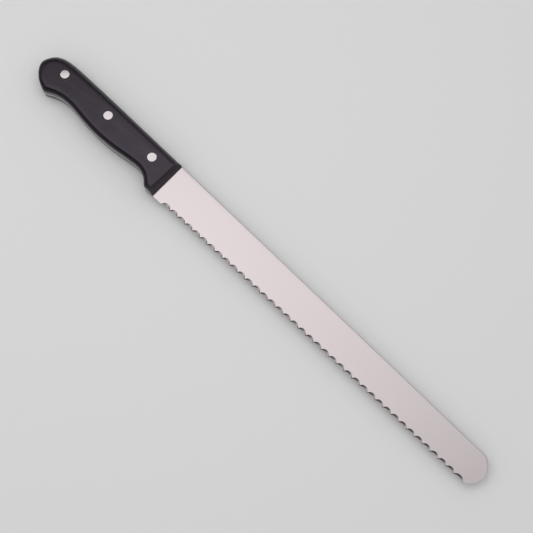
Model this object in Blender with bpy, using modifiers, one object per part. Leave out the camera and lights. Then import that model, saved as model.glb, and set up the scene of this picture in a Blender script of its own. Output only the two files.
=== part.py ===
"""Bread knife: a serrated blade with a full tang, two handle scales and three rivets.

While it is modelled, the origin is where the blade's spine meets the handle, on the
plate's middle plane. +X runs to the tip, +Y to the spine and +Z out of the ground side.
An empty then sets the knife down on its left scale, with the origin under its middle.
"""
import math

import bmesh
import bpy
from mathutils import Vector

COLLECTION_NAME = "bread_knife"
MM = 0.001
GAP = 0.3 * MM

# Blade: the exposed plate in front of the handle.
TANG_THICKNESS = 2.0 * MM
SPINE_THICKNESS = 1.9 * MM
EDGE_THICKNESS = 0.8 * MM
BLADE_LENGTH = 300.6 * MM
HEEL_DEPTH = 29.5 * MM
TIP_RADIUS = 12.7 * MM
TIP_CENTRE_DEPTH = 12.1 * MM
TIP_STEPS = 20
GRIND_START = 1.5 * MM

# Serrations: scallops between pointed teeth, ground from the right side only.
SCALLOP_COUNT = 39
SCALLOP_PITCH = 7.23 * MM
FIRST_TOOTH = 9.4 * MM
LAST_TOOTH = 292.6 * MM
FIRST_TOOTH_DEPTH = 29.1 * MM
LAST_TOOTH_DEPTH = 23.9 * MM
SCALLOP_RISE = 1.2 * MM
SCALLOP_BEVEL = math.radians(28.0)
SCALLOP_STEPS = 8
RUN_OUT = 1.5 * MM

# Handle: scales on both sides of the tang, riveted through.
HANDLE_THICKNESS = 17.0 * MM
FRONT_REACH = 0.8 * MM
SPINE_STRETCH = 1.65
ROUNDOVER_STEPS = 5
OUTLINE_STEPS = 6

# The edge of the scale's flat outer face, in millimetres: x, y and the roundover's width
# outside it. The first run goes from the front corner along the spine and round the butt to
# the beak. The second comes back along the finger hollows to the chin.
SPINE_RUN = [
    (-2.7, -3.9, 3.8), (-20.0, -3.95, 3.75), (-60.0, -4.1, 3.9), (-90.0, -4.5, 4.0),
    (-110.4, -5.5, 4.2), (-117.6, -7.8, 3.9), (-121.1, -11.9, 3.5), (-122.1, -15.8, 3.3),
    (-120.4, -20.0, 2.8), (-115.8, -24.5, 2.5), (-109.5, -26.5, 3.5),
]
BELLY_RUN = [
    (-109.5, -26.5, 3.5), (-102.6, -23.2, 3.4), (-95.0, -21.2, 3.4), (-86.0, -20.9, 3.4),
    (-72.5, -22.3, 3.4), (-58.0, -23.0, 3.4), (-43.4, -22.0, 3.4), (-29.0, -19.9, 3.4),
    (-20.4, -19.2, 3.4), (-14.0, -20.6, 3.4), (-9.9, -23.1, 3.3), (-6.1, -26.5, 3.3),
]
FRONT_FOOT = (-3.4, -26.3, 3.4)

# Rivets: a tube half from the left and a pin half from the right.
RIVET_PITCH = 44.15 * MM
FRONT_RIVET = Vector((-17.9 * MM, -11.0 * MM, 0.0))
RIVET_NAMES = ("front", "middle", "rear")
RIVET_SIDES = 48
HEAD_RADIUS = 3.4 * MM
HEAD_THICKNESS = 2.0 * MM
TUBE_RADIUS = 2.2 * MM
BORE_RADIUS = 1.6 * MM
PIN_RADIUS = 1.3 * MM
TUBE_END = 4.5 * MM
PIN_END = 4.8 * MM
BORE_FLOOR = 5.6 * MM
HEAD_CHAMFER = 0.15 * MM

FACE_HEIGHT = HANDLE_THICKNESS / 2
SCALE_FLOOR = TANG_THICKNESS / 2 + GAP
HALF_CUTTER = 6.0 * MM
CUTTER_CLEARANCE = 10.0 * MM


def clear_scene():
    """Remove every object, so that the script can run again in an open file."""
    for item in list(bpy.data.objects):
        bpy.data.objects.remove(item, do_unlink=True)


def new_collection(name):
    """A collection of this name, linked to the scene."""
    collection = bpy.data.collections.get(name) or bpy.data.collections.new(name)
    if name not in bpy.context.scene.collection.children:
        bpy.context.scene.collection.children.link(collection)
    return collection


def principled(name, colour, metallic, roughness):
    """A plain Principled BSDF material."""
    material = bpy.data.materials.new(name)
    material.use_nodes = True
    shader = material.node_tree.nodes["Principled BSDF"]
    shader.inputs["Base Color"].default_value = (*colour, 1.0)
    shader.inputs["Metallic"].default_value = metallic
    shader.inputs["Roughness"].default_value = roughness
    return material


def new_object(name, mesh, collection, material=None):
    """Link a mesh as an object, with its material."""
    item = bpy.data.objects.new(name, mesh)
    collection.objects.link(item)
    if material is not None:
        mesh.materials.append(material)
    return item


def shade_round(item, angle=math.radians(35.0)):
    """Smooth shading with sharp edges kept."""
    item.data.shade_smooth()
    item.data.set_sharp_from_angle(angle=angle)


def through(points, steps):
    """Points along a smooth curve through the given ones, spaced by their distances."""
    points = [Vector(point) for point in points]
    spans = [(b.xy - a.xy).length for a, b in zip(points, points[1:])]
    slopes = [(points[1] - points[0]) / spans[0]]
    for i in range(1, len(points) - 1):
        slopes.append((points[i + 1] - points[i - 1]) / (spans[i - 1] + spans[i]))
    slopes.append((points[-1] - points[-2]) / spans[-1])
    curve = []
    for i, span in enumerate(spans):
        for step in range(steps):
            t = step / steps
            curve.append(
                points[i] * (1 + 2 * t) * (1 - t) ** 2
                + slopes[i] * span * t * (1 - t) ** 2
                + points[i + 1] * t * t * (3 - 2 * t)
                - slopes[i + 1] * span * t * t * (1 - t)
            )
    curve.append(points[-1])
    return curve


def handle_rings():
    """Matched outlines of one scale, counter-clockwise from the front corner at the spine.

    They are the edge of its flat face, its widest section at the tang, and the roundover's
    height at each point, which is its width stretched where it faces the spine.
    """
    run = through(SPINE_RUN, OUTLINE_STEPS)[:-1] + through(BELLY_RUN, OUTLINE_STEPS)
    run.append(Vector(FRONT_FOOT))
    run = [point * MM for point in run]
    face = [point.xy for point in run]
    widest = []
    heights = []
    for i, point in enumerate(face):
        before = (point - face[i - 1]).normalized()
        after = (face[(i + 1) % len(face)] - point).normalized()
        along = (before + after).normalized()
        outward = Vector((along.y, -along.x))
        widest.append(point + outward * run[i].z)
        heights.append(run[i].z * (1 + (SPINE_STRETCH - 1) * max(outward.y, 0.0)))
    widest[0] = Vector((FRONT_REACH, 0.0))
    widest[-1] = Vector((FRONT_REACH, -HEEL_DEPTH))
    heights[0] = heights[1]
    return face, widest, heights


def tooth_depth(x):
    """Depth of the straight line through the teeth, below the spine."""
    share = (x - FIRST_TOOTH) / (LAST_TOOTH - FIRST_TOOTH)
    return FIRST_TOOTH_DEPTH + (LAST_TOOTH_DEPTH - FIRST_TOOTH_DEPTH) * share


def tip_arc():
    """The rounded tip, from the last tooth up to the spine."""
    centre = Vector((BLADE_LENGTH - TIP_RADIUS, -TIP_CENTRE_DEPTH))
    low = -math.asin((tooth_depth(LAST_TOOTH) - TIP_CENTRE_DEPTH) / TIP_RADIUS)
    high = math.asin(TIP_CENTRE_DEPTH / TIP_RADIUS)
    arc = []
    for i in range(TIP_STEPS + 1):
        angle = low + (high - low) * i / TIP_STEPS
        arc.append(centre + Vector((math.cos(angle), math.sin(angle))) * TIP_RADIUS)
    return arc


def plate_outline():
    """Outline of the blade and its tang, counter-clockwise from the spine at the handle."""
    outline = handle_rings()[1]
    outline.append(Vector((FIRST_TOOTH, -HEEL_DEPTH)))
    return outline + tip_arc()


def extruded(name, outline, half_thickness, collection):
    """A flat outline as a 2D curve with thickness, made a closed mesh."""
    curve = bpy.data.curves.new(name, "CURVE")
    curve.dimensions = "2D"
    curve.fill_mode = "BOTH"
    curve.extrude = half_thickness
    spline = curve.splines.new("POLY")
    spline.points.add(len(outline) - 1)
    for point, place in zip(spline.points, outline):
        point.co = (place.x, place.y, 0.0, 1.0)
    spline.use_cyclic_u = True
    guide = bpy.data.objects.new(name + "_curve", curve)
    collection.objects.link(guide)
    bpy.context.view_layer.update()
    mesh = bpy.data.meshes.new_from_object(guide.evaluated_get(bpy.context.evaluated_depsgraph_get()))
    mesh.name = name
    weld = bmesh.new()
    weld.from_mesh(mesh)
    bmesh.ops.remove_doubles(weld, verts=weld.verts, dist=0.001 * MM)
    bmesh.ops.recalc_face_normals(weld, faces=weld.faces)
    weld.to_mesh(mesh)
    weld.free()
    item = new_object(name, mesh, collection)
    item.matrix_world = guide.matrix_world
    bpy.data.objects.remove(guide, do_unlink=True)
    return item


def as_cutter(item):
    """Show a cutter as a wire and keep it out of renders."""
    item.display_type = "WIRE"
    item.hide_render = True
    return item


def cut(item, cutter):
    """Subtract a cutter from an object."""
    modifier = item.modifiers.new(cutter.name, "BOOLEAN")
    modifier.operation = "DIFFERENCE"
    modifier.solver = "EXACT"
    modifier.object = cutter


def cylinder_cutter(name, radius, low, high, place, cutters):
    """A round cutter along Z between two heights."""
    bpy.ops.mesh.primitive_cylinder_add(
        vertices=RIVET_SIDES, radius=radius, depth=high - low,
        location=(place.x, place.y, (low + high) / 2),
    )
    item = bpy.context.active_object
    item.name = name
    for owner in list(item.users_collection):
        owner.objects.unlink(item)
    cutters.objects.link(item)
    return as_cutter(item)


def grind_cutter(side, cutters):
    """A slab that thins one side of the blade from its spine down to its edge."""
    fall = (SPINE_THICKNESS - EDGE_THICKNESS) / 2
    tilt = math.atan2(fall, HEEL_DEPTH)
    length = BLADE_LENGTH + CUTTER_CLEARANCE - GRIND_START
    depth = HEEL_DEPTH + 2 * CUTTER_CLEARANCE
    height = 2 * HALF_CUTTER
    bpy.ops.mesh.primitive_cube_add(size=1.0)
    item = bpy.context.active_object
    item.name = "right_grind" if side > 0 else "left_grind"
    for vertex in item.data.vertices:
        vertex.co.x = GRIND_START + (vertex.co.x + 0.5) * length
        vertex.co.y = -HEEL_DEPTH / 2 + vertex.co.y * depth
        vertex.co.z = side * (vertex.co.z + 0.5) * height
    if side < 0:
        item.data.flip_normals()
    item.location.z = side * SPINE_THICKNESS / 2
    item.rotation_euler.x = side * tilt
    for owner in list(item.users_collection):
        owner.objects.unlink(item)
    cutters.objects.link(item)
    return as_cutter(item)


def scallop_profile():
    """Lower edge of the serration cutter, square to the bevel: arcs between the teeth.

    x is along the blade, and y is how far out of the bevel plane a point stands.
    """
    teeth = [FIRST_TOOTH + SCALLOP_PITCH * i for i in range(SCALLOP_COUNT)] + [LAST_TOOTH]
    dip = SCALLOP_RISE * math.sin(SCALLOP_BEVEL)
    profile = []
    for i, (start, end) in enumerate(zip(teeth, teeth[1:])):
        half = (end - start) / 2
        radius = (dip * dip + half * half) / (2 * dip)
        reach = math.asin(half / radius)
        run_out = math.acos(1 - (dip + RUN_OUT) / radius)
        low = -run_out if i == 0 else -reach
        high = run_out if i == SCALLOP_COUNT - 1 else reach
        for step in range(SCALLOP_STEPS + 1):
            angle = low + (high - low) * step / SCALLOP_STEPS
            x = (start + end) / 2 + radius * math.sin(angle)
            lift = radius * (1 - math.cos(angle)) - dip
            profile.append(Vector((x, tooth_height(x) + lift)))
    return [point for i, point in enumerate(profile) if (point - profile[i - 1]).length > GAP / 10]


def tooth_height(x):
    """How far the tooth line on the left side stands out of the bevel plane's origin."""
    depth = tooth_depth(x)
    fall = (SPINE_THICKNESS - EDGE_THICKNESS) / 2 * depth / HEEL_DEPTH
    left_side = -(SPINE_THICKNESS / 2 - fall)
    return math.sin(SCALLOP_BEVEL) * depth + math.cos(SCALLOP_BEVEL) * left_side


def serration_cutter(cutters):
    """One comb of scallops, pushed through the edge along the bevel."""
    profile = scallop_profile()
    top = max(point.y for point in profile) + CUTTER_CLEARANCE
    comb = profile + [Vector((profile[-1].x, top)), Vector((profile[0].x, top))]
    item = extruded("serration_comb", comb, 3 * HALF_CUTTER, cutters)
    item.rotation_euler.x = math.radians(90.0) + SCALLOP_BEVEL
    item.location.y = -HEEL_DEPTH * math.cos(SCALLOP_BEVEL) ** 2
    item.location.z = -HEEL_DEPTH * math.cos(SCALLOP_BEVEL) * math.sin(SCALLOP_BEVEL)
    return as_cutter(item)


def make_blade(steel, parts, cutters, holes):
    """The plate: tang and blade in one, thinned by the grind and serrated."""
    blade = extruded("blade", plate_outline(), TANG_THICKNESS / 2, parts)
    blade.data.materials.append(steel)
    cut(blade, grind_cutter(1, cutters))
    cut(blade, grind_cutter(-1, cutters))
    cut(blade, serration_cutter(cutters))
    for hole in holes:
        cut(blade, hole)
    return blade


def make_scale(side, black, parts, cutters, holes):
    """One scale, lofted from its widest section at the tang to its flat outer face."""
    face, widest, heights = handle_rings()
    rings = [[(*point, SCALE_FLOOR) for point in widest]]
    rise = FACE_HEIGHT - SCALE_FLOOR
    for step in range(ROUNDOVER_STEPS + 1):
        angle = math.radians(90.0) * step / ROUNDOVER_STEPS
        ring = []
        for i, (inner, outer) in enumerate(zip(face, widest)):
            height = FACE_HEIGHT - heights[i] * (1 - math.sin(angle))
            place = outer.lerp(inner, 1 - math.cos(angle))
            if i in (0, len(face) - 1):
                place.x = outer.x + (inner.x - outer.x) * (height - SCALE_FLOOR) / rise
            ring.append((*place, height))
        rings.append(ring)
    loft = bmesh.new()
    rows = [[loft.verts.new((x, y, z * side)) for x, y, z in ring] for ring in rings]
    count = len(rows[0])
    for lower, upper in zip(rows, rows[1:]):
        for i in range(count):
            j = (i + 1) % count
            loft.faces.new((lower[i], lower[j], upper[j], upper[i]))
    loft.faces.new(rows[0])
    loft.faces.new(rows[-1])
    bmesh.ops.recalc_face_normals(loft, faces=loft.faces)
    name = "right_scale" if side > 0 else "left_scale"
    mesh = bpy.data.meshes.new(name)
    loft.to_mesh(mesh)
    loft.free()
    scale = new_object(name, mesh, parts, black)
    shade_round(scale)
    for hole in holes:
        cut(scale, hole)
    for i, place in enumerate(rivet_places()):
        floor = FACE_HEIGHT - HEAD_THICKNESS - GAP
        low, high = sorted((side * floor, side * (FACE_HEIGHT + HALF_CUTTER)))
        name = f"{scale.name}_counterbore_{i + 1}"
        cut(scale, cylinder_cutter(name, HEAD_RADIUS + GAP, low, high, place, cutters))
    return scale


def rivet_places():
    """Centres of the three rivets, from the front one back."""
    return [FRONT_RIVET - Vector((RIVET_PITCH * i, 0.0, 0.0)) for i in range(3)]


def turned(name, profile, parts, material):
    """A turned piece: its half profile, from the axis down the outside, swept round Z."""
    mesh = bpy.data.meshes.new(name)
    edges = [(i, i + 1) for i in range(len(profile) - 1)]
    mesh.from_pydata([(radius, 0.0, height) for radius, height in profile], edges, [])
    item = new_object(name, mesh, parts, material)
    screw = item.modifiers.new("turn", "SCREW")
    screw.steps = RIVET_SIDES
    screw.render_steps = RIVET_SIDES
    screw.use_merge_vertices = True
    screw.merge_threshold = 0.01 * MM
    return item


def head_profile():
    """Top of a rivet: the flush head with its broken edge."""
    under = FACE_HEIGHT - HEAD_THICKNESS
    return [
        (0.0, FACE_HEIGHT), (HEAD_RADIUS - HEAD_CHAMFER, FACE_HEIGHT),
        (HEAD_RADIUS, FACE_HEIGHT - HEAD_CHAMFER), (HEAD_RADIUS, under),
    ]


def make_pin_half(name, place, steel, parts):
    """The male half, whose pin goes down from the right scale into the tube."""
    under = FACE_HEIGHT - HEAD_THICKNESS
    profile = head_profile() + [(PIN_RADIUS, under), (PIN_RADIUS, -PIN_END), (0.0, -PIN_END)]
    item = turned(name, profile, parts, steel)
    item.location = place
    return item


def make_tube_half(name, place, steel, parts):
    """The female half, whose tube goes up from the left scale through the tang."""
    under = FACE_HEIGHT - HEAD_THICKNESS
    profile = head_profile() + [
        (TUBE_RADIUS, under), (TUBE_RADIUS, -TUBE_END), (BORE_RADIUS, -TUBE_END),
        (BORE_RADIUS, BORE_FLOOR), (0.0, BORE_FLOOR),
    ]
    item = turned(name, profile, parts, steel)
    item.location = place
    item.rotation_euler.x = math.pi
    return item


def set_down(pieces):
    """Hang every piece from an empty that puts the origin under the knife's middle."""
    outline = plate_outline()
    xs = [point.x for point in outline]
    ys = [point.y for point in outline]
    rest = bpy.data.objects.new("bread_knife_rest", None)
    bpy.data.collections[COLLECTION_NAME].objects.link(rest)
    rest.location = (-(min(xs) + max(xs)) / 2, -(min(ys) + max(ys)) / 2, FACE_HEIGHT)
    for piece in pieces:
        piece.parent = rest


def build():
    """Model the whole knife."""
    clear_scene()
    parts = new_collection(COLLECTION_NAME)
    cutters = new_collection("cutters")
    steel = principled("blade_steel", (0.74, 0.71, 0.71), 1.0, 0.28)
    bright = principled("rivet_steel", (0.80, 0.78, 0.77), 1.0, 0.22)
    black = principled("black_composite", (0.022, 0.020, 0.025), 0.0, 0.42)
    places = rivet_places()
    holes = [
        cylinder_cutter(f"{name}_rivet_hole", TUBE_RADIUS + GAP, -FACE_HEIGHT - HALF_CUTTER,
                        FACE_HEIGHT + HALF_CUTTER, place, cutters)
        for name, place in zip(RIVET_NAMES, places)
    ]
    make_blade(steel, parts, cutters, holes)
    make_scale(1, black, parts, cutters, holes)
    make_scale(-1, black, parts, cutters, holes)
    for name, place in zip(RIVET_NAMES, places):
        make_pin_half(f"{name}_rivet_pin", place, bright, parts)
        make_tube_half(f"{name}_rivet_tube", place, bright, parts)
    set_down(list(parts.objects) + list(cutters.objects))


build()
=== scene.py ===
"""The bread knife's looks: ground steel blade, black riveted scales, floor, light and camera.

Lengths are in millimetres in the blade's own frame: the origin is where the spine meets the
handle, on the plate's middle plane. +X runs to the tip, +Y to the spine and +Z up, out of the
ground right side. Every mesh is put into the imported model's frame in metres as it is made.
"""

import math

import bmesh
import bpy
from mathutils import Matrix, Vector


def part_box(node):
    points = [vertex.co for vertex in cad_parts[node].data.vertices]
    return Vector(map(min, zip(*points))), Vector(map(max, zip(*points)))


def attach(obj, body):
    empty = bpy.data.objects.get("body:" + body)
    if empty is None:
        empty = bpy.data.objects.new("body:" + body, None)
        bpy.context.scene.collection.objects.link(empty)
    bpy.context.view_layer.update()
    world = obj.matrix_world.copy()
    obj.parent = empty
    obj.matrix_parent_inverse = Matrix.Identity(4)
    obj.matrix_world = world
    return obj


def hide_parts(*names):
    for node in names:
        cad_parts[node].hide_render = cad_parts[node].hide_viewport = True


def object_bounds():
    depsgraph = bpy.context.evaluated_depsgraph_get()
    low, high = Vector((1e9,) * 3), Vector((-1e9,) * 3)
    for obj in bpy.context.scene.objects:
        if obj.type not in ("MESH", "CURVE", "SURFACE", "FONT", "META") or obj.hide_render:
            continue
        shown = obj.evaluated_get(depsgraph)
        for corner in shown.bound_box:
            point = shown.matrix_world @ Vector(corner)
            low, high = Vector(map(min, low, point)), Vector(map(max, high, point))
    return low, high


MM = 0.001
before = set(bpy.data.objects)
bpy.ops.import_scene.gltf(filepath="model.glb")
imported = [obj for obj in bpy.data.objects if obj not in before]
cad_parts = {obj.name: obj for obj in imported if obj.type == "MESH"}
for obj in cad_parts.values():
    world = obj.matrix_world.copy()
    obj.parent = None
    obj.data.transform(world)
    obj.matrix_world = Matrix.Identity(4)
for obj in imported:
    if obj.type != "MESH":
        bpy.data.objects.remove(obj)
CAD_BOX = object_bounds()

# Blade and tang. A half is half a thickness. The spine's corners are rounded by SPINE_BREAK,
# and the taper comes in between PLUNGE_START and PLUNGE_END.
BLADE_LENGTH = 300.6
HEEL_DEPTH = 29.5
TANG_HALF = 1.0
SPINE_HALF = 0.95
EDGE_HALF = 0.27
PLUNGE_START = -4.0
PLUNGE_END = 1.2
TIP_RADIUS = 12.7
TIP_CENTRE_DEPTH = 12.1
SPINE_BREAK = 0.45
BREAK_STEPS = 8
FACE_ROWS = 12
HEEL_SPACING = 0.15
TANG_SPACING = 0.08
TIP_COLUMNS = 60

# Serrations, ground from the right side only. The edge rises by EDGE_RISE in the middle of a
# scallop. The top of its ground facet is FACET_CUSP above a tooth and FACET_RISE higher again
# in the middle.
SCALLOP_COUNT = 39
SCALLOP_PITCH = 7.23
FIRST_TOOTH = 9.4
LAST_TOOTH = 292.6
FIRST_TOOTH_DEPTH = 29.1
LAST_TOOTH_DEPTH = 24.2
TOOTH_BOW = 0.55
SCALLOP_POWER = 2.5
SCALLOP_COLUMNS = 24
EDGE_RISE = 1.4
FACET_CUSP = 0.65
FACET_RISE = 2.2
FACET_SLOPE = math.tan(math.radians(18.8))
FACET_ROWS = 6
EDGE_LAND = 0.04

# Handle scales. Their sides are taller by SPINE_STRETCH where they face the spine. The face
# falls by CROWN_DROP towards its edge, over insets that lead to a line along its middle.
HANDLE_HALF = 8.5
FRONT_REACH = 0.8
SPINE_STRETCH = 1.65
OUTLINE_STEPS = 14
SIDE_STEPS = 10
SIDE_SWEEP = math.radians(52.0)
ARRIS_STEPS = 6
ARRIS_REACH = 0.35
SEAM_BREAK = 0.15
CROWN_DROP = 0.09
CROWN_INSETS = (0.8, 1.7, 2.8)
CROWN_REAR = -113.0
CROWN_FRONT = -8.0
CROWN_LEVEL = -14.7

# Points near the edge of the scale's outer face: x, y and the side's width outside them. The
# first run goes from the front corner along the spine and round the butt to the beak. The
# second comes back along the finger hollows to the chin. The face's edge is FACE_SPREAD
# outside them, and the widest outline stays BOX_MARGIN short of the widths.
FACE_SPREAD = 0.2
BOX_MARGIN = 0.012
SPINE_RUN = [
    (-2.7, -3.9, 3.8), (-20.0, -3.95, 3.75), (-60.0, -4.1, 3.9), (-90.0, -4.5, 4.0),
    (-110.4, -5.5, 4.2), (-117.6, -7.8, 3.9), (-121.1, -11.9, 3.5), (-122.1, -15.8, 3.3),
    (-120.4, -20.0, 2.8), (-115.8, -24.5, 2.5), (-109.5, -26.5, 3.5),
]
BELLY_RUN = [
    (-109.5, -26.5, 3.5), (-102.6, -23.5, 3.1), (-95.0, -21.6, 3.0), (-86.0, -21.3, 3.0),
    (-72.5, -22.7, 3.0), (-58.0, -23.4, 3.0), (-43.4, -22.4, 3.0), (-29.0, -20.3, 3.0),
    (-20.4, -19.6, 3.0), (-14.0, -20.9, 3.1), (-9.9, -23.3, 3.1), (-6.1, -26.5, 3.3),
]
FRONT_FOOT = (-3.4, -26.3, 3.4)

# Rivets, each with a tube half from the left and a pin half from the right.
RIVETS = {"front": -17.9, "middle": -62.05, "rear": -106.2}
RIVET_DEPTH = 11.0
RIVET_SIDES = 96
HEAD_RADIUS = 3.4
HEAD_DOME = 0.02
HEAD_BREAK = 0.1
DOME_SHARES = (0.02, 0.25, 0.5, 0.7, 0.85, 1.0)
BREAK_TURNS = 4
HEAD_THICKNESS = 2.0
RING_GAP = 0.1
TUBE_RADIUS = 2.2
BORE_RADIUS = 1.6
PIN_RADIUS = 1.3
TUBE_END = 4.5
PIN_END = 4.8
BORE_FLOOR = 5.6
AXIS_RADIUS = 0.05
HOLE_CLEARANCE = 0.1
CUTTER_REACH = 12.0

# Angles over which an edge is shown sharp.
BLADE_SHARP = math.radians(14.0)
SCALE_SHARP = math.radians(22.0)
RIVET_SHARP = math.radians(30.0)

# Looks: pairs of colours that a noise blends, and ranges of roughness.
BLADE_COLOURS = ((0.66, 0.595, 0.605), (0.64, 0.575, 0.585))
BLADE_ROUGHNESS = (0.26, 0.31)
RIVET_COLOURS = ((0.55, 0.51, 0.52), (0.52, 0.48, 0.49))
RIVET_ROUGHNESS = (0.07, 0.13)
COMPOSITE_COLOURS = ((0.0030, 0.0022, 0.0036), (0.0040, 0.0030, 0.0048))
COMPOSITE_ROUGHNESS = (0.18, 0.38)
COMPOSITE_IOR = 1.58
COMPOSITE_TINT = (1.0, 0.87, 1.04, 1.0)
# Colour the composite's edges are lightened to over a pointiness range: partly edge wear, partly
# a painted highlight along the arris.
EDGE_WEAR_AND_HIGHLIGHT_COLOUR = (0.045, 0.040, 0.047)
EDGE_WEAR_AND_HIGHLIGHT_POINTINESS = (0.52, 0.62)
PAPER_COLOUR = (0.87, 0.87, 0.87, 1.0)
PAPER_ROUGHNESS = 0.9
PAPER_SPECULAR = 0.2

# Studio, in metres. The softbox is brightest at a point given from its centre. The room's
# light depends on a direction's height: it comes in over WALL_FOOT and goes out over WALL_TOP.
VIEW_AZIMUTH = math.radians(44.3)
VIEW_ELEVATION = math.radians(78.0)
VIEW_TARGET = Vector((0.0061, 0.0052, 0.0))
VIEW_DISTANCE = 0.9498
LENS = 91.86
SOFTBOX_PLACE = (-0.183, 0.006, 1.0)
SOFTBOX_SIZE = (1.35, 0.78)
SOFTBOX_HOT_POINT = (-0.175, 0.14)
SOFTBOX_RADIANCE = 1.46
SOFTBOX_FALL = 0.55
FILL_HEIGHT = 2.5
FILL_SIZE = 8.0
FILL_RADIANCE = 0.46
WALL_LEVEL = 0.50
WALL_FOOT_SHARE = 0.3
CEILING_LEVEL = 0.05
WALL_FOOT = (0.05, 0.25)
WALL_TOP = (0.26, 0.72)
FLOOR_SIZE = 12.0

blade_low, blade_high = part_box("blade")
head_low, head_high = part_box("front_rivet_pin")
HEEL = Vector((
    (head_low.x + head_high.x) / 2 - RIVETS["front"] * MM,
    blade_high.y,
    (blade_low.z + blade_high.z) / 2,
))
MIDDLE = (Vector(CAD_BOX[0]) + Vector(CAD_BOX[1])) / 2


# ---------------------------------------------------------------- meshes

def finished(name, mesh, material, sharp):
    """An object from a bmesh in the blade's frame, smooth except at edges over an angle."""
    bmesh.ops.recalc_face_normals(mesh, faces=mesh.faces)
    for vertex in mesh.verts:
        vertex.co = HEEL + vertex.co * MM
    data = bpy.data.meshes.new(name)
    mesh.to_mesh(data)
    mesh.free()
    data.shade_smooth()
    data.set_sharp_from_angle(angle=sharp)
    item = bpy.data.objects.new(name, data)
    bpy.context.scene.collection.objects.link(item)
    data.materials.append(material)
    return item


def skin(rings):
    """A mesh with faces between matched closed rings, and a cap on the first and last."""
    mesh = bmesh.new()
    rows = [[mesh.verts.new(point) for point in ring] for ring in rings]
    count = len(rows[0])
    for lower, upper in zip(rows, rows[1:]):
        for i in range(count):
            j = (i + 1) % count
            mesh.faces.new((lower[i], lower[j], upper[j], upper[i]))
    mesh.faces.new(rows[0])
    mesh.faces.new(rows[-1])
    return mesh


def subtract(item, cutter, sharp):
    """Cut a shape out of an object for good, and drop the cutter."""
    modifier = item.modifiers.new("cut", "BOOLEAN")
    modifier.operation = "DIFFERENCE"
    modifier.solver = "EXACT"
    modifier.object = cutter
    graph = bpy.context.evaluated_depsgraph_get()
    data = bpy.data.meshes.new_from_object(item.evaluated_get(graph))
    item.modifiers.clear()
    item.data = data
    data.set_sharp_from_angle(angle=sharp)
    bpy.data.objects.remove(cutter)


def circle(x, radius, z):
    """Points of a level circle round a rivet's axis."""
    turns = [2 * math.pi * i / RIVET_SIDES for i in range(RIVET_SIDES)]
    return [(x + radius * math.cos(a), -RIVET_DEPTH + radius * math.sin(a), z) for a in turns]


def drill(item, radius, low, high, sharp):
    """Cut a round hole at each of the rivet places."""
    for x in RIVETS.values():
        rings = [circle(x, radius, low), circle(x, radius, high)]
        subtract(item, finished("rivet_cutter", skin(rings), None, sharp), sharp)


# ---------------------------------------------------------------- outlines

def through(points, steps):
    """Points along a smooth curve through the given ones, spaced by their distances."""
    points = [Vector(point) for point in points]
    spans = [(b.xy - a.xy).length for a, b in zip(points, points[1:])]
    slopes = [(points[1] - points[0]) / spans[0]]
    for i in range(1, len(points) - 1):
        slopes.append((points[i + 1] - points[i - 1]) / (spans[i - 1] + spans[i]))
    slopes.append((points[-1] - points[-2]) / spans[-1])
    curve = []
    for i, span in enumerate(spans):
        for step in range(steps):
            t = step / steps
            curve.append(
                points[i] * (1 + 2 * t) * (1 - t) ** 2
                + slopes[i] * span * t * (1 - t) ** 2
                + points[i + 1] * t * t * (3 - 2 * t)
                - slopes[i + 1] * span * t * t * (1 - t)
            )
    curve.append(points[-1])
    return curve


def handle_outline():
    """The scale's face edge, its outward directions and its roundover widths, in one run."""
    run = through(SPINE_RUN, OUTLINE_STEPS)[:-1] + through(BELLY_RUN, OUTLINE_STEPS)
    run.append(Vector(FRONT_FOOT))
    face = [point.xy for point in run]
    outward = []
    for i, point in enumerate(face):
        before = (point - face[i - 1]).normalized()
        after = (face[(i + 1) % len(face)] - point).normalized()
        along = (before + after).normalized()
        outward.append(Vector((along.y, -along.x)))
    widths = [point.z - FACE_SPREAD - BOX_MARGIN for point in run]
    face = [point + way * FACE_SPREAD for point, way in zip(face, outward)]
    return face, outward, widths


def crown_ways(face):
    """Inward directions at the face's edge, towards the line along its middle."""
    nearest = [Vector((min(max(p.x, CROWN_REAR), CROWN_FRONT), CROWN_LEVEL)) for p in face]
    return [(middle - point).normalized() for middle, point in zip(nearest, face)]


def widest_outline():
    """Where the handle is widest, at the tang: the outline of the tang too."""
    face, outward, widths = handle_outline()
    widest = [point + way * width for point, way, width in zip(face, outward, widths)]
    widest[0] = Vector((FRONT_REACH, 0.0))
    widest[-1] = Vector((FRONT_REACH, -HEEL_DEPTH))
    return widest


# ---------------------------------------------------------------- blade

def tooth_line(x):
    """Height of the line through the tooth tips, which bows up a little in the middle."""
    share = (x - FIRST_TOOTH) / (LAST_TOOTH - FIRST_TOOTH)
    straight = FIRST_TOOTH_DEPTH + (LAST_TOOTH_DEPTH - FIRST_TOOTH_DEPTH) * share
    return TOOTH_BOW * 4 * share * (1 - share) - straight


def scallop_arch(x):
    """1 in the middle of a scallop and 0 at its teeth, falling on past the outer teeth."""
    index = min(max(int((x - FIRST_TOOTH) // SCALLOP_PITCH), 0), SCALLOP_COUNT - 1)
    start = FIRST_TOOTH + SCALLOP_PITCH * index
    end = LAST_TOOTH if index == SCALLOP_COUNT - 1 else start + SCALLOP_PITCH
    phase = (x - start) / (end - start) - 0.5
    return 1 - abs(2 * phase) ** SCALLOP_POWER


def tip_reach(x):
    """Half the height of the tip's circle at x."""
    offset = x - (BLADE_LENGTH - TIP_RADIUS)
    return math.sqrt(max(TIP_RADIUS ** 2 - offset ** 2, 0.0))


def spine_height(x):
    """Top of the blade at x."""
    if x < BLADE_LENGTH - TIP_RADIUS:
        return 0.0
    return min(0.0, tip_reach(x) - TIP_CENTRE_DEPTH)


def plain_bottom(x):
    """Bottom of the blade at x as if it had no scallops."""
    if x > LAST_TOOTH:
        return -TIP_CENTRE_DEPTH - tip_reach(x)
    return -HEEL_DEPTH if x < FIRST_TOOTH else tooth_line(x)


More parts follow.
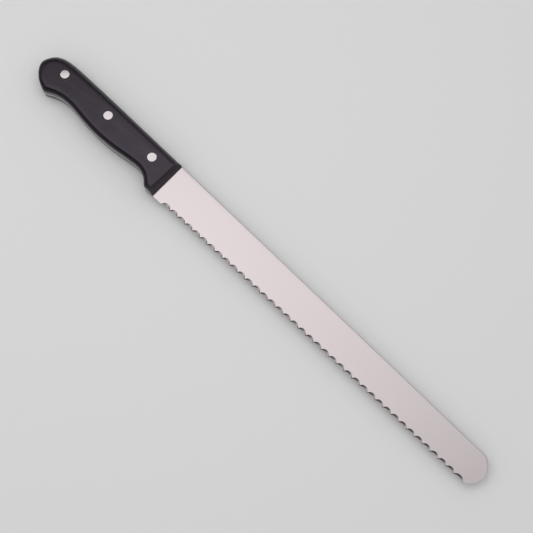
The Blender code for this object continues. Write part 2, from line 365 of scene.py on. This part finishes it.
def half_thickness(x, y):
    """Half the plate's thickness: full in the tang and tapered from spine to edge beyond."""
    share = min(max((x - PLUNGE_START) / (PLUNGE_END - PLUNGE_START), 0.0), 1.0)
    ease = share * share * (3 - 2 * share)
    tapered = SPINE_HALF + (EDGE_HALF - SPINE_HALF) * -y / HEEL_DEPTH
    return TANG_HALF + (tapered - TANG_HALF) * ease


def ground_heights(x, bottom):
    """Heights of the edge and of the top of the ground facet at x."""
    if not PLUNGE_END < x < LAST_TOOTH + SCALLOP_PITCH:
        return bottom, bottom
    arch = scallop_arch(x)
    edge = max(bottom, tooth_line(x) + EDGE_RISE * arch)
    return edge, max(edge, tooth_line(x) + FACET_CUSP + FACET_RISE * arch)


def flank(x, top, bottom, reach):
    """One side of the plate from the middle of the spine down: heights and half thicknesses."""
    points = []
    for step in range(BREAK_STEPS + 1):
        angle = math.pi / 2 * step / BREAK_STEPS
        y = top - reach * (1 - math.cos(angle))
        points.append((y, half_thickness(x, y) - reach * (1 - math.sin(angle))))
    for row in range(1, FACE_ROWS + 1):
        y = top - reach + (bottom - top + reach) * row / FACE_ROWS
        points.append((y, half_thickness(x, y)))
    return points


def section(x, top, bottom):
    """One closed cross-section of the plate, from the spine down its right side and back up."""
    edge, facet = ground_heights(x, bottom)
    reach = min(SPINE_BREAK, (top - facet) / 3)
    points = flank(x, top, facet, reach)
    high = half_thickness(x, facet)
    low = -half_thickness(x, edge) + EDGE_LAND
    for row in range(1, FACET_ROWS + 1):
        y = facet + (edge - facet) * row / FACET_ROWS
        points.append((y, max(high - (facet - y) * FACET_SLOPE, low)))
    left = flank(x, top, edge, reach)
    return points + [(y, -half) for y, half in reversed(left)]


def height_on(run, x):
    """Height at x of a run of points that go forwards, held level past its ends."""
    for a, b in zip(run, run[1:]):
        if a.x <= x <= b.x and b.x > a.x:
            return a.y + (b.y - a.y) * (x - a.x) / (b.x - a.x)
    return run[-1].y if x > run[-1].x else run[0].y


def tang_columns():
    """Places along the tang with its top and bottom, from the butt to the handle's front."""
    outline = widest_outline()
    butt = min(range(len(outline)), key=lambda i: outline[i].x)
    top_run = outline[butt::-1]
    bottom_run = outline[butt:]
    columns = []
    for x in sorted(point.x for point in outline)[1:]:
        if not columns or x - columns[-1][0] > TANG_SPACING:
            columns.append((x, height_on(top_run, x), height_on(bottom_run, x)))
    return columns


def blade_columns():
    """Places along the blade with its top and bottom, closest at the heel and the tip."""
    count = int((FIRST_TOOTH - FRONT_REACH) / HEEL_SPACING)
    places = [FRONT_REACH + HEEL_SPACING * i for i in range(1, count)]
    teeth = [FIRST_TOOTH + SCALLOP_PITCH * i for i in range(SCALLOP_COUNT)] + [LAST_TOOTH]
    for start, end in zip(teeth, teeth[1:]):
        places += [start + (end - start) * i / SCALLOP_COLUMNS for i in range(SCALLOP_COLUMNS)]
    centre = BLADE_LENGTH - TIP_RADIUS
    first = math.acos((LAST_TOOTH - centre) / TIP_RADIUS)
    turns = [first * (1 - i / TIP_COLUMNS) for i in range(TIP_COLUMNS)]
    places += [centre + TIP_RADIUS * math.cos(a) for a in turns]
    return [(x, spine_height(x), plain_bottom(x)) for x in places]


def make_blade(steel):
    """Blade and tang as one plate."""
    rings = [
        [(x, y, z) for y, z in section(x, top, bottom)]
        for x, top, bottom in tang_columns() + blade_columns()
    ]
    blade = finished("blade_plate", skin(rings), steel, BLADE_SHARP)
    drill(blade, TUBE_RADIUS + HOLE_CLEARANCE, -CUTTER_REACH, CUTTER_REACH, BLADE_SHARP)
    return blade


# ---------------------------------------------------------------- handle

def side_profile():
    """Section of the scale's side from the tang up to its face.

    Each point says how far it has come, from the widest outline in to the face's edge and from
    the lowest level up to the face. The side is part of an ellipse that meets the face at an
    angle. The last point is the corner, which the arris then rounds.
    """
    turns = [SIDE_SWEEP * step / SIDE_STEPS for step in range(SIDE_STEPS + 1)]
    return [
        ((1 - math.cos(a)) / (1 - math.cos(SIDE_SWEEP)), math.sin(a) / math.sin(SIDE_SWEEP))
        for a in turns
    ]


def side_ring(share_in, share_up):
    """A ring round the scale's side. Its front corners keep to the sloping front plane."""
    face, outward, widths = handle_outline()
    widest = widest_outline()
    stretch = [1 + (SPINE_STRETCH - 1) * max(way.y, 0.0) for way in outward]
    stretch[0] = stretch[1]
    face_height = HANDLE_HALF - CROWN_DROP
    ring = []
    for inner, outer, width, factor in zip(face, widest, widths, stretch):
        height = face_height - width * factor * (1 - share_up)
        place = outer.lerp(inner, share_in)
        ring.append(Vector((*place, height)))
    for i in (0, -1):
        share = (ring[i].z - TANG_HALF) / (face_height - TANG_HALF)
        ring[i].x = widest[i].x + (face[i].x - widest[i].x) * share
    return ring


def scale_rings():
    """Matched rings of one scale, from its seam with the tang to its slightly crowned face."""
    face, outward, widths = handle_outline()
    widest = widest_outline()
    inward = crown_ways(face)
    rings = [
        [Vector((*(point - way * SEAM_BREAK), TANG_HALF)) for point, way in zip(widest, outward)],
        [Vector((*point, TANG_HALF + SEAM_BREAK)) for point in widest],
    ]
    rings += [side_ring(*shares) for shares in side_profile()[:-1]]
    corner = side_ring(1.0, 1.0)
    below = [
        point + (under - point).normalized() * ARRIS_REACH
        for point, under in zip(corner, rings[-1])
    ]
    above = [point + Vector((*way, 0.0)) * ARRIS_REACH for point, way in zip(corner, inward)]
    rings[-1] = [min(pair, key=lambda point: point.z) for pair in zip(below, rings[-1])]
    for step in range(1, ARRIS_STEPS + 1):
        t = step / ARRIS_STEPS
        rings.append([
            low * (1 - t) ** 2 + mid * 2 * t * (1 - t) + high * t * t
            for low, mid, high in zip(below, corner, above)
        ])
    for inset in CROWN_INSETS:
        height = HANDLE_HALF - CROWN_DROP * (1 - inset / CROWN_INSETS[-1]) ** 2
        rings.append([
            Vector((*(point.xy + way * inset), height)) for point, way in zip(corner, inward)
        ])
    return rings


def make_scale(name, side, black):
    """One scale with its holes and counterbores."""
    rings = [[(x, y, z * side) for x, y, z in ring] for ring in scale_rings()]
    scale = finished(name, skin(rings), black, SCALE_SHARP)
    far = side * CUTTER_REACH
    drill(scale, TUBE_RADIUS + HOLE_CLEARANCE, -far, far, SCALE_SHARP)
    seat = side * (HANDLE_HALF - HEAD_THICKNESS - HOLE_CLEARANCE)
    drill(scale, HEAD_RADIUS + RING_GAP, seat, far, SCALE_SHARP)
    scale.modifiers.new("face_normals", "WEIGHTED_NORMAL").keep_sharp = True
    return scale


def turned(name, profile, x, side, steel):
    """A round piece on a rivet's axis from its half profile, with its head out on one side."""
    rings = [circle(x, radius, z * side) for radius, z in profile]
    return finished(name, skin(rings), steel, RIVET_SHARP)


def head_profile():
    """A rivet's head from its axis out: a low dome, a rounded rim and a straight side."""
    dome = HEAD_RADIUS - HEAD_BREAK
    profile = [(dome * share, HANDLE_HALF - HEAD_DOME * share ** 2) for share in DOME_SHARES]
    rim = HANDLE_HALF - HEAD_DOME - HEAD_BREAK
    for step in range(1, BREAK_TURNS + 1):
        angle = math.pi / 2 * step / BREAK_TURNS
        profile.append((dome + HEAD_BREAK * math.sin(angle), rim + HEAD_BREAK * math.cos(angle)))
    profile.append((HEAD_RADIUS, HANDLE_HALF - HEAD_THICKNESS))
    return profile


def make_rivet(name, x, steel):
    """Both halves of one rivet."""
    under = HANDLE_HALF - HEAD_THICKNESS
    pin = turned(f"{name}_pin_half", head_profile() + [
        (PIN_RADIUS, under), (PIN_RADIUS, -PIN_END), (AXIS_RADIUS, -PIN_END),
    ], x, 1, steel)
    tube = turned(f"{name}_tube_half", head_profile() + [
        (TUBE_RADIUS, under), (TUBE_RADIUS, -TUBE_END), (BORE_RADIUS, -TUBE_END),
        (BORE_RADIUS, BORE_FLOOR), (AXIS_RADIUS, BORE_FLOOR),
    ], x, -1, steel)
    return pin, tube


# ---------------------------------------------------------------- materials

def new_material(name):
    """A material with its node tree, its shader and the surface's coordinates in metres."""
    material = bpy.data.materials.new(name)
    material.use_nodes = True
    tree = material.node_tree
    shader = tree.nodes["Principled BSDF"]
    coordinates = tree.nodes.new("ShaderNodeTexCoord")
    return material, tree, shader, coordinates.outputs["Object"]


def stretched_noise(tree, place, scale, detail, roughness=0.5):
    """Noise over the surface, with its own scale per millimetre along each axis."""
    mapping = tree.nodes.new("ShaderNodeMapping")
    mapping.inputs["Scale"].default_value = [value / MM for value in scale]
    tree.links.new(place, mapping.inputs["Vector"])
    noise = tree.nodes.new("ShaderNodeTexNoise")
    noise.inputs["Scale"].default_value = 1.0
    noise.inputs["Detail"].default_value = detail
    noise.inputs["Roughness"].default_value = roughness
    tree.links.new(mapping.outputs["Vector"], noise.inputs["Vector"])
    return noise.outputs["Fac"]


def spread(tree, value, low, high, start=0.0, end=1.0):
    """A value mapped from start..end to low..high."""
    node = tree.nodes.new("ShaderNodeMapRange")
    node.inputs["From Min"].default_value = start
    node.inputs["From Max"].default_value = end
    node.inputs["To Min"].default_value = low
    node.inputs["To Max"].default_value = high
    tree.links.new(value, node.inputs["Value"])
    return node.outputs["Result"]


def blend_colours(tree, share, first, second):
    """A node that mixes two colours by a share. Another node may be linked in place of A."""
    node = tree.nodes.new("ShaderNodeMix")
    node.data_type = "RGBA"
    node.inputs["A"].default_value = (*first, 1.0)
    node.inputs["B"].default_value = (*second, 1.0)
    tree.links.new(share, node.inputs["Factor"])
    return node


def bump(tree, height, depth, strength):
    """A bump of that depth in millimetres."""
    node = tree.nodes.new("ShaderNodeBump")
    node.inputs["Distance"].default_value = depth * MM
    node.inputs["Strength"].default_value = strength
    tree.links.new(height, node.inputs["Height"])
    return node.outputs["Normal"]


def blade_steel():
    """Satin stainless steel with fine grinding lines across the blade."""
    material, tree, shader, place = new_material("blade_steel")
    lines = stretched_noise(tree, place, (9.0, 0.12, 0.12), 3.0, 0.6)
    cloud = stretched_noise(tree, place, (0.02, 0.06, 0.06), 2.0)
    colour = blend_colours(tree, cloud, *BLADE_COLOURS)
    tree.links.new(colour.outputs["Result"], shader.inputs["Base Color"])
    tree.links.new(spread(tree, lines, *BLADE_ROUGHNESS), shader.inputs["Roughness"])
    tree.links.new(bump(tree, lines, 0.002, 0.3), shader.inputs["Normal"])
    shader.inputs["Metallic"].default_value = 1.0
    return material


def rivet_steel():
    """Turned and polished steel."""
    material, tree, shader, place = new_material("rivet_steel")
    scratches = stretched_noise(tree, place, (3.0, 3.0, 3.0), 4.0, 0.6)
    colour = blend_colours(tree, scratches, *RIVET_COLOURS)
    tree.links.new(colour.outputs["Result"], shader.inputs["Base Color"])
    tree.links.new(spread(tree, scratches, *RIVET_ROUGHNESS), shader.inputs["Roughness"])
    tree.links.new(bump(tree, scratches, 0.003, 0.4), shader.inputs["Normal"])
    shader.inputs["Metallic"].default_value = 1.0
    return material


def black_composite():
    """Black moulded composite with a fine grain, faint smudges, and edges lightened partly as
    wear and partly as a painted highlight.
    """
    material, tree, shader, place = new_material("black_composite")
    grain = stretched_noise(tree, place, (4.0, 4.0, 4.0), 4.0, 0.65)
    cloud = stretched_noise(tree, place, (0.05, 0.09, 0.09), 3.0)
    smudges = stretched_noise(tree, place, (0.10, 0.16, 0.16), 5.0, 0.6)
    base = blend_colours(tree, cloud, *COMPOSITE_COLOURS)
    geometry = tree.nodes.new("ShaderNodeNewGeometry")
    # Edges picked by pointiness are lightened: partly edge wear, partly a painted highlight along
    # the arris.
    edge_wear_and_highlight = spread(tree, geometry.outputs["Pointiness"], 0.0, 1.0, *EDGE_WEAR_AND_HIGHLIGHT_POINTINESS)
    colour = blend_colours(tree, edge_wear_and_highlight, COMPOSITE_COLOURS[0], EDGE_WEAR_AND_HIGHLIGHT_COLOUR)
    tree.links.new(base.outputs["Result"], colour.inputs["A"])
    tree.links.new(colour.outputs["Result"], shader.inputs["Base Color"])
    tree.links.new(spread(tree, smudges, *COMPOSITE_ROUGHNESS), shader.inputs["Roughness"])
    tree.links.new(bump(tree, grain, 0.02, 0.25), shader.inputs["Normal"])
    shader.inputs["IOR"].default_value = COMPOSITE_IOR
    shader.inputs["Specular Tint"].default_value = COMPOSITE_TINT
    return material


def floor_paper():
    """Plain pale paper."""
    material = bpy.data.materials.new("floor_paper")
    material.use_nodes = True
    shader = material.node_tree.nodes["Principled BSDF"]
    shader.inputs["Base Color"].default_value = PAPER_COLOUR
    shader.inputs["Roughness"].default_value = PAPER_ROUGHNESS
    shader.inputs["Specular IOR Level"].default_value = PAPER_SPECULAR
    return material


# ---------------------------------------------------------------- studio

def area_light(name, place, size, radiance, turn=0.0):
    """A rectangular light that faces straight down with a given radiance."""
    light = bpy.data.lights.new(name, "AREA")
    light.shape = "RECTANGLE"
    light.size, light.size_y = size
    light.energy = radiance * math.pi * size[0] * size[1]
    item = bpy.data.objects.new(name, light)
    item.location = place
    item.rotation_euler.z = turn
    bpy.context.scene.collection.objects.link(item)
    return item


def shade_light(light, hot_point, fall):
    """Make a light weaker by a share per metre from its brightest point, as in a softbox."""
    light.use_nodes = True
    tree = light.node_tree
    geometry = tree.nodes.new("ShaderNodeNewGeometry")
    spot = tree.nodes.new("ShaderNodeCombineXYZ")
    size = tree.nodes.new("ShaderNodeCombineXYZ")
    for axis, (extent, place) in enumerate(zip((light.size, light.size_y), hot_point)):
        size.inputs[axis].default_value = extent
        spot.inputs[axis].default_value = place / extent + 0.5
    offset = tree.nodes.new("ShaderNodeVectorMath")
    offset.operation = "SUBTRACT"
    tree.links.new(geometry.outputs["Parametric"], offset.inputs[0])
    tree.links.new(spot.outputs["Vector"], offset.inputs[1])
    metres = tree.nodes.new("ShaderNodeVectorMath")
    metres.operation = "MULTIPLY"
    tree.links.new(offset.outputs["Vector"], metres.inputs[0])
    tree.links.new(size.outputs["Vector"], metres.inputs[1])
    distance = tree.nodes.new("ShaderNodeVectorMath")
    distance.operation = "LENGTH"
    tree.links.new(metres.outputs["Vector"], distance.inputs[0])
    strength = spread(tree, distance.outputs["Value"], 1.0, 1.0 - fall)
    tree.links.new(strength, tree.nodes["Emission"].inputs["Strength"])


def make_world():
    """A dim room with pale walls, which fade out at the floor and towards the ceiling."""
    world = bpy.data.worlds.new("studio")
    world.use_nodes = True
    tree = world.node_tree
    background = tree.nodes["Background"]
    coordinates = tree.nodes.new("ShaderNodeTexCoord")
    split = tree.nodes.new("ShaderNodeSeparateXYZ")
    tree.links.new(coordinates.outputs["Generated"], split.inputs["Vector"])
    rise = spread(tree, split.outputs["Z"], WALL_FOOT_SHARE, 1.0, *WALL_FOOT)
    fall = spread(tree, split.outputs["Z"], WALL_LEVEL, CEILING_LEVEL, *WALL_TOP)
    level = tree.nodes.new("ShaderNodeMath")
    level.operation = "MULTIPLY"
    tree.links.new(rise, level.inputs[0])
    tree.links.new(fall, level.inputs[1])
    tree.links.new(level.outputs["Value"], background.inputs["Strength"])
    background.inputs["Color"].default_value = (1.0, 1.0, 1.0, 1.0)
    bpy.context.scene.world = world


def make_floor():
    """A large square of paper under the knife."""
    mesh = bmesh.new()
    half = FLOOR_SIZE / 2
    corners = [mesh.verts.new((x, y, 0.0)) for x, y in (
        (-half, -half), (half, -half), (half, half), (-half, half),
    )]
    mesh.faces.new(corners)
    data = bpy.data.meshes.new("floor")
    mesh.to_mesh(data)
    mesh.free()
    data.materials.append(floor_paper())
    floor = bpy.data.objects.new("floor", data)
    bpy.context.scene.collection.objects.link(floor)


def make_lights():
    """A softbox that the blade mirrors, and a wide dim light over everything."""
    softbox = area_light("softbox", SOFTBOX_PLACE, SOFTBOX_SIZE, SOFTBOX_RADIANCE, VIEW_AZIMUTH)
    shade_light(softbox.data, SOFTBOX_HOT_POINT, SOFTBOX_FALL)
    fill = area_light("fill", (0.0, 0.0, FILL_HEIGHT), (FILL_SIZE, FILL_SIZE), FILL_RADIANCE)
    fill.visible_glossy = False


def make_camera():
    """The photograph's view."""
    camera = bpy.data.objects.new("camera", bpy.data.cameras.new("camera"))
    camera.data.lens = LENS
    back = Vector((
        math.sin(VIEW_AZIMUTH) * math.cos(VIEW_ELEVATION),
        -math.cos(VIEW_AZIMUTH) * math.cos(VIEW_ELEVATION),
        math.sin(VIEW_ELEVATION),
    ))
    camera.location = MIDDLE + VIEW_TARGET + back * VIEW_DISTANCE
    camera.rotation_euler = back.to_track_quat("Z", "Y").to_euler()
    bpy.context.scene.collection.objects.link(camera)
    bpy.context.scene.camera = camera


def dress(piece, node):
    """Let a piece stand for a CAD node and move with the knife."""
    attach(piece, "root")
    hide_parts(node)


def build():
    """Make every piece and the studio."""
    steel = blade_steel()
    bright = rivet_steel()
    black = black_composite()
    dress(make_blade(steel), "blade")
    dress(make_scale("scale_right", 1, black), "right_scale")
    dress(make_scale("scale_left", -1, black), "left_scale")
    for name, x in RIVETS.items():
        pin, tube = make_rivet(name, x, bright)
        dress(pin, f"{name}_rivet_pin")
        dress(tube, f"{name}_rivet_tube")
    make_world()
    make_floor()
    make_lights()
    make_camera()
    bpy.context.scene.view_settings.view_transform = "Standard"


build()
bpy.context.view_layer.update()
